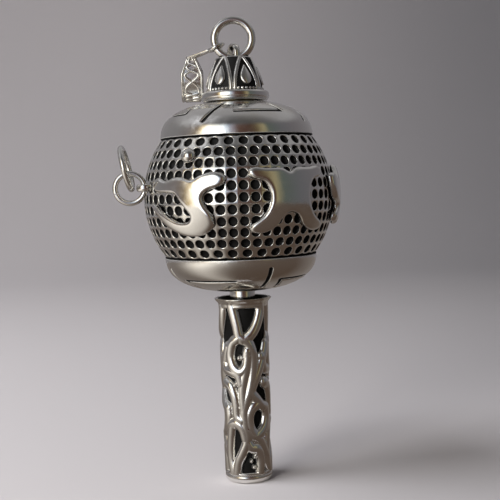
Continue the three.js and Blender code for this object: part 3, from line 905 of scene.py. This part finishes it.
def handle_surface(turn, up, given):
    height = given["Foot height"] + up * given["Height"]
    radius = given["Foot radius"] + up * (given["Top radius"] - given["Foot radius"])
    graph = turn.graph
    here = graph.node("ShaderNodeCombineXYZ", None, {0: turn * HANDLE_MEAN, 1: height})
    target = {"Target": given["Geometry"], "Source Position": here}
    near = graph.node("GeometryNodeProximity", {"target_element": "EDGES"}, target, "Distance")
    line = dome_of(near / STRAND)
    drop = None
    for degrees, middle, size in DROPS:
        along = height - middle * MM
        across = (turn - math.radians(degrees)).wrap(math.pi / HANDLE_REPEATS) * radius
        one = dome_of((across.power(2.0) + along.power(2.0)).root() / (size * MM))
        drop = drop.most(one) if drop else one
    from_top = (1.0 - up) * given["Height"]
    from_foot = up * given["Height"]
    top_band = 1.0 - from_top.step(PLAIN_TOP * 0.8, PLAIN_TOP)
    band = top_band.most(1.0 - from_foot.step(PLAIN_FOOT * 0.6, PLAIN_FOOT))
    flare = (1.0 - from_top.step(0.0, 0.75 * MM)) * FLARE
    raised = line.most(drop * 0.85).most(band * 0.86)
    black = 1.0 - line.step(0.12, 0.4).most(drop.step(0.15, 0.4)).most(band)
    return radius - OPENING_DEPTH * (1.0 - raised) + flare, height, black


handle_tree = relief_tree("handle", ["Foot radius", "Top radius", "Foot height", "Height"], handle_surface)
handle_sizes = {"Count across": 280, "Count up": 320, "Foot radius": HANDLE_FOOT, "Top radius": HANDLE_TOP}
handle_sizes |= {"Foot height": low * MM, "Height": (high - low) * MM}
handle = grown("strand_handle", handle_tree, handle_sizes, strand_drawing(HANDLE_MEAN))
BORE = HANDLE_TOP - 0.8 * MM
sleeve_bore = [(BORE + 0.35 * MM, (high - 0.05) * MM), (BORE, (high - 0.5) * MM)]
sleeve_bore += [(BORE - 0.15 * MM, (low + 0.2) * MM), (BORE - 0.15 * MM, low * MM)]
finish_piece(closed_wall(handle, sleeve_bore), antique_silver, "handle", "handle_sleeve")

# %% [markdown]
# ## Straps and wires
# The eyes are bent from flat strap, so `strap` carries a rounded section along a path in plain mesh code.
# The jump rings and the filigree are drawn wire, and Geometry Nodes sweeps a round section along their
# paths. A jump ring is cut open and closed again, so its path stops just short of a full turn.

# %% Bend straps
SECTION_SIDES = 20


def strap(name, path, side, half_widths, half_thickness, closed=False, squareness=1.0):
    """Carries a rounded section along path (mm). side is the direction of the strap's width."""
    path = np.asarray(path, float)
    side = np.asarray(side, float) / np.linalg.norm(side)
    after = np.roll(path, -1, 0)
    before = np.roll(path, 1, 0)
    if not closed:
        after[-1], before[0] = path[-1], path[0]
    tangents = after - before
    outs = np.cross(tangents, side)
    outs /= np.linalg.norm(outs, axis=1)[:, None]
    half_widths = np.broadcast_to(half_widths, len(path))
    angles = np.linspace(0, math.tau, SECTION_SIDES, endpoint=False)
    wide = np.sign(np.cos(angles)) * np.abs(np.cos(angles)) ** squareness
    thick = np.sign(np.sin(angles)) * np.abs(np.sin(angles)) ** squareness * half_thickness
    sideways = side * (wide[None, :] * half_widths[:, None])[..., None]
    points = path[:, None] + sideways + outs[:, None] * thick[:, None]
    rows = len(path)
    faces = []
    for k in range(rows if closed else rows - 1):
        here, there = k * SECTION_SIDES, (k + 1) % rows * SECTION_SIDES
        for n in range(SECTION_SIDES):
            m = (n + 1) % SECTION_SIDES
            faces.append((here + n, here + m, there + m, there + n))
    if not closed:
        faces.append(range(SECTION_SIDES - 1, -1, -1))
        faces.append(range((rows - 1) * SECTION_SIDES, rows * SECTION_SIDES))
    points = points.reshape(-1, 3) * MM
    return piece(name, points, faces, [0.0] * len(points))


def arch(half_gap, height, steps=16):
    """An arch's centre line: two straight legs and half a circle, as (across, up)."""
    spring = height - half_gap
    legs = [(half_gap, k * spring / 4) for k in range(4)]
    bend = [(half_gap * math.cos(a), spring + half_gap * math.sin(a)) for a in np.linspace(0, math.pi, steps)]
    return legs + bend + [(-x, y) for x, y in reversed(legs)]


EYE_TURN = math.radians(25)
across_eye = np.array((-math.sin(EYE_TURN), math.cos(EYE_TURN), 0.0))
through_eye = (math.cos(EYE_TURN), math.sin(EYE_TURN), 0.0)
eye_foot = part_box("crown_eye")[0].z / MM
eye_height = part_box("crown_eye")[1].z / MM - eye_foot
eye_path = [across_eye * x + np.array((0, 0, eye_foot + y)) for x, y in arch(1.1, eye_height - 0.25)]
eye = strap("crown_loop", eye_path, through_eye, 0.4, 0.25, squareness=0.8)
finish_piece(eye, plain_silver, "handle", "crown_eye")

LUG_TURN = math.radians(-66)
lug_middle = sum(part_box("side_lug"), Vector()) / 2 / MM
lug_out = np.array((math.sin(LUG_TURN), -math.cos(LUG_TURN), 0.0))
lug_side = np.array((math.cos(LUG_TURN), math.sin(LUG_TURN), 0.0))
LUG_FOOT = float(barrel_radius(lug_middle.z * MM - SHELL_MIDDLE)) / MM
LUG_HALF_GAP, LUG_RISE = 0.8, 1.35
lug_level = np.array((0, 0, lug_middle.z))
lug_path = [lug_out * (LUG_FOOT + y) + lug_side * x + lug_level for x, y in arch(LUG_HALF_GAP, LUG_RISE)]
side_loop = strap("side_loop", lug_path, (0, 0, 1), 0.45, 0.25, squareness=0.7)
finish_piece(side_loop, plain_silver, "drum", "side_lug")

# %% Draw wires


def wire_tree():
    graph, given = geometry_tree("wire", ["Wire radius", "Count sides"])
    curve = graph.node("GeometryNodeMeshToCurve", None, {"Mesh": given["Geometry"]})
    section = graph.node(
        "GeometryNodeCurvePrimitiveCircle",
        {"mode": "RADIUS"},
        {"Resolution": given["Count sides"], "Radius": given["Wire radius"]},
    )
    swept = {"Curve": curve, "Profile Curve": section, "Fill Caps": True}
    tube = graph.node("GeometryNodeCurveToMesh", None, swept)
    return end_tree(graph, keep_oxide(graph, tube, 0.0), plain_silver)


drawn_wire = wire_tree()


def wire(name, paths, radius, closed=False, sides=16):
    """Wires along paths in millimetres."""
    points, edges = [], []
    for path in paths:
        first = len(points)
        points += [tuple(np.asarray(p) * MM) for p in path]
        edges += [(first + k, first + k + 1) for k in range(len(path) - 1)]
        if closed:
            edges.append((len(points) - 1, first))
    seed = piece(f"{name}_path", points, [], None, edges)
    return grown(name, drawn_wire, {"Wire radius": radius * MM, "Count sides": sides}, seed)


def open_ring(name, node, wire_radius, ring_radius, cut, turn=None):
    """A jump ring in the XZ plane at a node's middle. cut is the angle of its seam in degrees."""
    seam = math.asin(0.05 / ring_radius)
    angles = np.linspace(math.radians(cut) + seam, math.radians(cut) + math.tau - seam, 97)
    centre = sum(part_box(node), Vector()) / 2 / MM
    matrix = turn or Matrix.Identity(3)
    path = []
    for angle in angles:
        local = Vector((ring_radius * math.cos(angle), 0.0, ring_radius * math.sin(angle)))
        path.append(tuple(centre + matrix @ local))
    return wire(name, [path], wire_radius)


finish_piece(open_ring("jump_ring", "top_ring", 0.52, 2.4, 250), plain_silver, "top_ring", "top_ring")
inner = open_ring("side_jump_ring", "side_ring_inner", 0.35, 1.85, 200)
finish_piece(inner, plain_silver, "inner_ring", "side_ring_inner")
OUTER_LEAN = Matrix.Rotation(math.radians(-12), 3, "Y") @ Matrix.Rotation(math.radians(90), 3, "Z")
outer = open_ring("side_jump_ring_outer", "side_ring_outer", 0.38, 2.6, 62, OUTER_LEAN)
finish_piece(outer, plain_silver, "outer_ring", "side_ring_outer")

# %% [markdown]
# ## The bail
# The chain passes through the bail: a tapering strap bent into a drop, with a neck that ends in an eye on
# the top ring. Its outside is covered in filigree, two fine edge wires with a scroll that swings between
# them.

# %% Bend the bail
BAIL_SEAT = math.radians(205)
TOP_RING_MIDDLE = sum(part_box("top_ring"), Vector()) / 2 / MM
seat = np.array(TOP_RING_MIDDLE) + 2.4 * np.array((math.cos(BAIL_SEAT), 0.0, math.sin(BAIL_SEAT)))
NECK = np.array((-3.4, 2.2, -0.9))
BAIL_EYE = 0.95
LOOP_TOP = seat + NECK
LOOP_LEAN = np.array(Matrix.Rotation(math.radians(15), 3, "X"))
LOOP_LENGTH, LOOP_DEPTH, LOOP_HALF_WIDTH, LOOP_WALL = 5.7, 2.6, 1.45, 0.5


def drop_line(half_depth, half_neck, top, end, steps=14):
    """A drop's outline as (depth, height), from its top down the front and up the back."""
    middle = half_depth - end
    corners = ((half_neck, top), (half_neck, top - 1), (half_depth, top - 1), (half_depth, middle))
    a, b, c, d = (np.array(corner) for corner in corners)
    side = [a * (1 - t) ** 3 + 3 * b * t * (1 - t) ** 2 + 3 * c * t * t * (1 - t) + d * t ** 3
            for t in np.linspace(0, 1, steps)]
    bend = [np.array((half_depth * math.cos(t), middle - half_depth * math.sin(t)))
            for t in np.linspace(0, math.pi / 2, steps)]
    half = side + bend[1:]
    return np.array(half + [np.array((-p[0], p[1])) for p in reversed(half[:-1])])


def loop_point(across, depth, height):
    return LOOP_TOP + LOOP_LEAN @ np.array((across, depth, height))


def loop_half_width(height):
    share = min(1.0, -height / (0.35 * LOOP_LENGTH))
    return 0.5 + (LOOP_HALF_WIDTH - 0.5) * share


half_wall = LOOP_WALL / 2
centre_line = drop_line(LOOP_DEPTH / 2 - half_wall, 0.3, -half_wall, LOOP_LENGTH - half_wall)
loop_path = [loop_point(0.0, depth, height) for depth, height in centre_line]
loop_widths = [loop_half_width(height) - 0.03 for _, height in centre_line]
loop = strap("loop", loop_path, (1, 0, 0), loop_widths, half_wall * 0.8, closed=True, squareness=0.45)
across_ring = np.array((math.cos(BAIL_SEAT), 0.0, math.sin(BAIL_SEAT)))
eye_circle = [seat + BAIL_EYE * (across_ring * math.cos(a) + np.array((0, 1, 0)) * math.sin(a))
              for a in np.linspace(0, math.tau, 48, endpoint=False)]
eye_wire = wire("eye_wire", [eye_circle], 0.25, closed=True)
neck_unit = NECK / np.linalg.norm(NECK)
neck_path = [seat + neck_unit * BAIL_EYE + (NECK - neck_unit * 0.7) * t for t in np.linspace(0, 1, 16)]
neck_widths = 0.42 + 0.4 * np.linspace(0, 1, 16) ** 0.7
neck = strap("neck", neck_path, np.cross(neck_unit, (0, 0, 1)), neck_widths, 0.24, squareness=0.8)

# %% Lay the filigree
outer_line = drop_line(LOOP_DEPTH / 2 + 0.02, 0.5, -0.1, LOOP_LENGTH - 0.02, 30)
SWINGS = 7
filigree = []
for offset in (-0.88, 0.88):
    filigree.append([loop_point(offset * loop_half_width(h), d, h) for d, h in outer_line])
for phase in (0.0, math.pi):
    scroll = []
    for n, (depth, height) in enumerate(outer_line):
        swing = 0.62 * math.sin(phase + SWINGS * math.tau * n / len(outer_line))
        scroll.append(loop_point(swing * loop_half_width(height), depth, height))
    filigree.append(scroll)
LACE_WIRE = 0.19
lace = wire("lace", filigree, LACE_WIRE, closed=True, sides=8)
bail = joined("filigree_bail", loop, eye_wire, neck, lace)
finish_piece(bail, antique_silver, "bail", "bail")

# %% [markdown]
# ## The stud
# One round boss is riveted on the drum between two ornaments. It is turned, so it takes the same lathe
# profile as its CAD node, made fine and laid along the drum's own normal.

# %% Set the stud
stud_middle = sum(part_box("bead_stud"), Vector()) / 2
STUD_TURN = math.radians(-30)
stud_lean = math.asin((stud_middle.z - SHELL_MIDDLE) / BARREL_ARC)
stud_flat = math.cos(stud_lean)
stud_axis = Vector((math.sin(STUD_TURN) * stud_flat, -math.cos(STUD_TURN) * stud_flat, math.sin(stud_lean)))
stud_profile = [(0.02, 0.05), (0.76, 0.05), (0.92, 0.3), (0.92, 0.6), (0.74, 0.95), (0.4, 1.2), (0.02, 1.28)]
stud = turned("boss", eased(stud_profile, 0.25, 4), 48)
stud_foot = stud_middle - stud_axis * 0.64 * MM
stud.data.transform(Matrix.Translation(stud_foot) @ stud_axis.to_track_quat("Z", "Y").to_matrix().to_4x4())
finish_piece(stud, plain_silver, "drum", "bead_stud")

# %% [markdown]
# ## What stays from the model
# The pin, the washers, the bushes and the prayer scroll inside the drum already have the right shape. They
# only take a finish.

# %% Finish the inner pieces
INNER_FINISHES = {
    "spindle": plain_silver, "handle_core": black_silver, "top_washer": turned_brass,
    "lower_bush": turned_brass, "upper_bush": turned_brass, "scroll_tube": turned_brass,
    "prayer_scroll": rolled_paper,
    "scroll_tie_lower": red_cotton, "scroll_tie_upper": red_cotton,
}
for node, finish in INNER_FINISHES.items():
    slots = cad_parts[node].data.materials
    slots.clear()
    slots.append(finish)

# %% [markdown]
# ## Stage and light
# The pendant stands on a pale sweep that curves up all round it. Polished silver shows its surroundings
# more than itself: a soft window to the left gives the white streak on every curve, and dark brown in the
# mirrored room, to the right of the camera, gives the dark streak beside it.

# %% Build the sweep
FLOOR_RADIUS, WALL_RADIUS, WALL_TOP = 0.30, 0.62, 0.75


def sweep_profile():
    made = [(0.0, 0.0), (FLOOR_RADIUS, 0.0)]
    for step in range(1, 13):
        angle = math.pi / 2 * step / 12
        rise = WALL_RADIUS - FLOOR_RADIUS
        made.append((FLOOR_RADIUS + rise * math.sin(angle), rise * (1 - math.cos(angle))))
    return made + [(WALL_RADIUS, WALL_TOP)]


def pale_paper():
    """Matt paper, painted darker towards the right as shade away from the window."""
    made = bpy.data.materials.new("pale_paper")
    made.use_nodes = True
    graph = Graph(made.node_tree)
    shader = made.node_tree.nodes["Principled BSDF"]
    place = graph.node("ShaderNodeTexCoord", None, None, "Object")
    sideways, _, _ = graph.parts(place)
    # Painted shade: the colour turns darker from left to right, away from the window.
    shade = (sideways.step(-0.12, 0.22) + noise(graph, place, 4.0) * 0.1).clamp()
    colour = graph.mix(shade, (0.6, 0.565, 0.56, 1), (0.26, 0.25, 0.255, 1))
    graph.tree.links.new(colour.socket, shader.inputs["Base Color"])
    shader.inputs["Roughness"].default_value = 0.9
    return made


sweep_points, sweep_faces = [], []
profile = sweep_profile()
SWEEP_SEGMENTS = 96
for n in range(SWEEP_SEGMENTS):
    turn = math.tau * n / SWEEP_SEGMENTS
    sweep_points += [(r * math.sin(turn), r * math.cos(turn), z - 0.02 * MM) for r, z in profile]
    here, there = n * len(profile), (n + 1) % SWEEP_SEGMENTS * len(profile)
    sweep_faces += [(here + k, here + k + 1, there + k + 1, there + k) for k in range(len(profile) - 1)]
sweep = piece("sweep", sweep_points, sweep_faces)
sweep.data.materials.append(pale_paper())
sweep.data.shade_smooth()


def soft_light(name, azimuth, elevation, distance, size, power, colour=(1, 1, 1)):
    """A soft box. Azimuth is turned from the front, positive to the right."""
    data = bpy.data.lights.new(name, "AREA")
    data.shape = "RECTANGLE"
    data.size, data.size_y = size
    data.energy = power
    data.color = colour
    made = link(name, data)
    turn, lift = math.radians(azimuth), math.radians(elevation)
    way = Vector((math.sin(turn) * math.cos(lift), -math.cos(turn) * math.cos(lift), math.sin(lift)))
    made.location = Vector((0, 0, 0.035)) + way * distance
    made.rotation_euler = (-way).to_track_quat("-Z", "Y").to_euler()


soft_light("window", -34, 12, 0.32, (0.13, 0.12), 1.0, (1.0, 0.985, 0.96))
soft_light("sky", -75, 50, 0.5, (0.3, 0.25), 2.6, (0.93, 0.95, 1.0))

# %% [markdown]
# Only the silver mirrors the room. Round the horizon it is a warm window frame, the bright window, a bluish
# curtain, brown wood and a little olive, and then grey walls behind. Overhead it turns from dark at the
# front to grey at the back. Underfoot is a dark wooden floor with a pool of window light to the left, so that
# the undersides of the domes don't turn white from the paper. It gives no light to matt surfaces, and the
# camera doesn't see it.

# %% Paint the mirrored room
ROOM_TONES = (  # azimuth in degrees and a colour
    (-180, (0.24, 0.23, 0.24)), (-100, (0.2, 0.195, 0.2)), (-72, (0.17, 0.15, 0.15)), (-60, (0.2, 0.15, 0.1)),
    (-53, (0.8, 0.6, 0.28)), (-47, (1.6, 1.5, 1.25)), (-22, (1.5, 1.6, 1.65)), (-15, (0.42, 0.55, 0.7)),
    (-7, (0.3, 0.28, 0.33)), (2, (0.09, 0.045, 0.03)), (20, (0.06, 0.028, 0.02)), (31, (0.1, 0.07, 0.035)),
    (41, (0.34, 0.29, 0.16)), (50, (0.08, 0.1, 0.09)), (72, (0.11, 0.11, 0.12)), (100, (0.14, 0.13, 0.14)),
    (180, (0.24, 0.23, 0.24)),
)
ROOM_RADIUS = 0.27
ROOM_CENTRE = 0.037
MIRROR_FLOOR = 0.1 * MM  # the height of its floor, just above the paper
CEILING_TONES = ((-1.0, 0.38), (0.0, 0.27), (0.34, 0.13), (0.64, 0.07), (1.0, 0.07))


def room_colour(turn, lift):
    stops = [tone[0] for tone in ROOM_TONES]
    horizon = np.array([np.interp(turn, stops, [tone[1][k] for tone in ROOM_TONES]) for k in range(3)])
    front = math.cos(math.radians(turn)) * math.cos(math.radians(lift))
    ceiling = np.interp(front, *zip(*CEILING_TONES)) * np.array((1.0, 0.985, 1.01))
    fade = min(1.0, max(0.0, (lift - 30) / 12))
    return [*(horizon * (1 - fade) + ceiling * fade), 1.0]


FLOOR_REACHES = (0.0045, 0.012, 0.022, 0.035, 0.05, 0.07, 0.1, 0.15, 0.2, 0.25)


def floor_colour(turn, reach):
    """Dark wood in front and to the right, with a pool of window light to the left."""
    pool = math.exp(-((turn + 62) / 30) ** 2) * (0.35 + 1.5 * min(reach, 0.1) / 0.1)
    behind = max(0.0, -math.cos(math.radians(turn))) * 0.12
    return [*(np.array((0.075, 0.05, 0.035)) + pool * np.array((0.5, 0.48, 0.44)) + behind), 1.0]


def mirrored_room():
    turns = np.linspace(-180, 180, 181)
    lifts = np.append(np.arange(-8, 88, 4), 89.5)
    points, tones, faces = [], [], []
    for reach in FLOOR_REACHES:
        for turn in turns:
            angle = math.radians(turn)
            points.append((reach * math.sin(angle), -reach * math.cos(angle), MIRROR_FLOOR))
            tones.append(floor_colour(turn, reach))
    for lift in lifts:
        for turn in turns:
            angle, rise = math.radians(turn), math.radians(lift)
            reach = ROOM_RADIUS * math.cos(rise)
            level = ROOM_CENTRE + ROOM_RADIUS * math.sin(rise)
            points.append((reach * math.sin(angle), -reach * math.cos(angle), level))
            tones.append(room_colour(turn, lift))
    columns = len(turns)
    for row in range(len(FLOOR_REACHES) + len(lifts) - 1):
        for n in range(columns - 1):
            here = row * columns + n
            faces.append((here, here + 1, here + columns + 1, here + columns))
    made = piece("mirrored_room", points, faces)
    layer = made.data.attributes.new("tone", "FLOAT_COLOR", "POINT")
    layer.data.foreach_set("color", np.array(tones, "f").ravel())
    material = bpy.data.materials.new("room_tones")
    material.use_nodes = True
    graph = Graph(material.node_tree)
    shader = material.node_tree.nodes["Principled BSDF"]
    tone = graph.node("ShaderNodeAttribute", {"attribute_name": "tone"}, None, "Color")
    graph.tree.links.new(tone.socket, shader.inputs["Emission Color"])
    shader.inputs["Emission Strength"].default_value = 1.0
    shader.inputs["Base Color"].default_value = (0, 0, 0, 1)
    shader.inputs["Roughness"].default_value = 1.0
    made.data.materials.append(material)
    made.visible_camera = False
    made.visible_shadow = False
    made.visible_diffuse = False


mirrored_room()
world = bpy.data.worlds.new("room")
world.use_nodes = True
world.node_tree.nodes["Background"].inputs["Color"].default_value = (0.32, 0.31, 0.32, 1)
world.node_tree.nodes["Background"].inputs["Strength"].default_value = 0.5
bpy.context.scene.world = world
bpy.context.scene.view_settings.view_transform = "Standard"
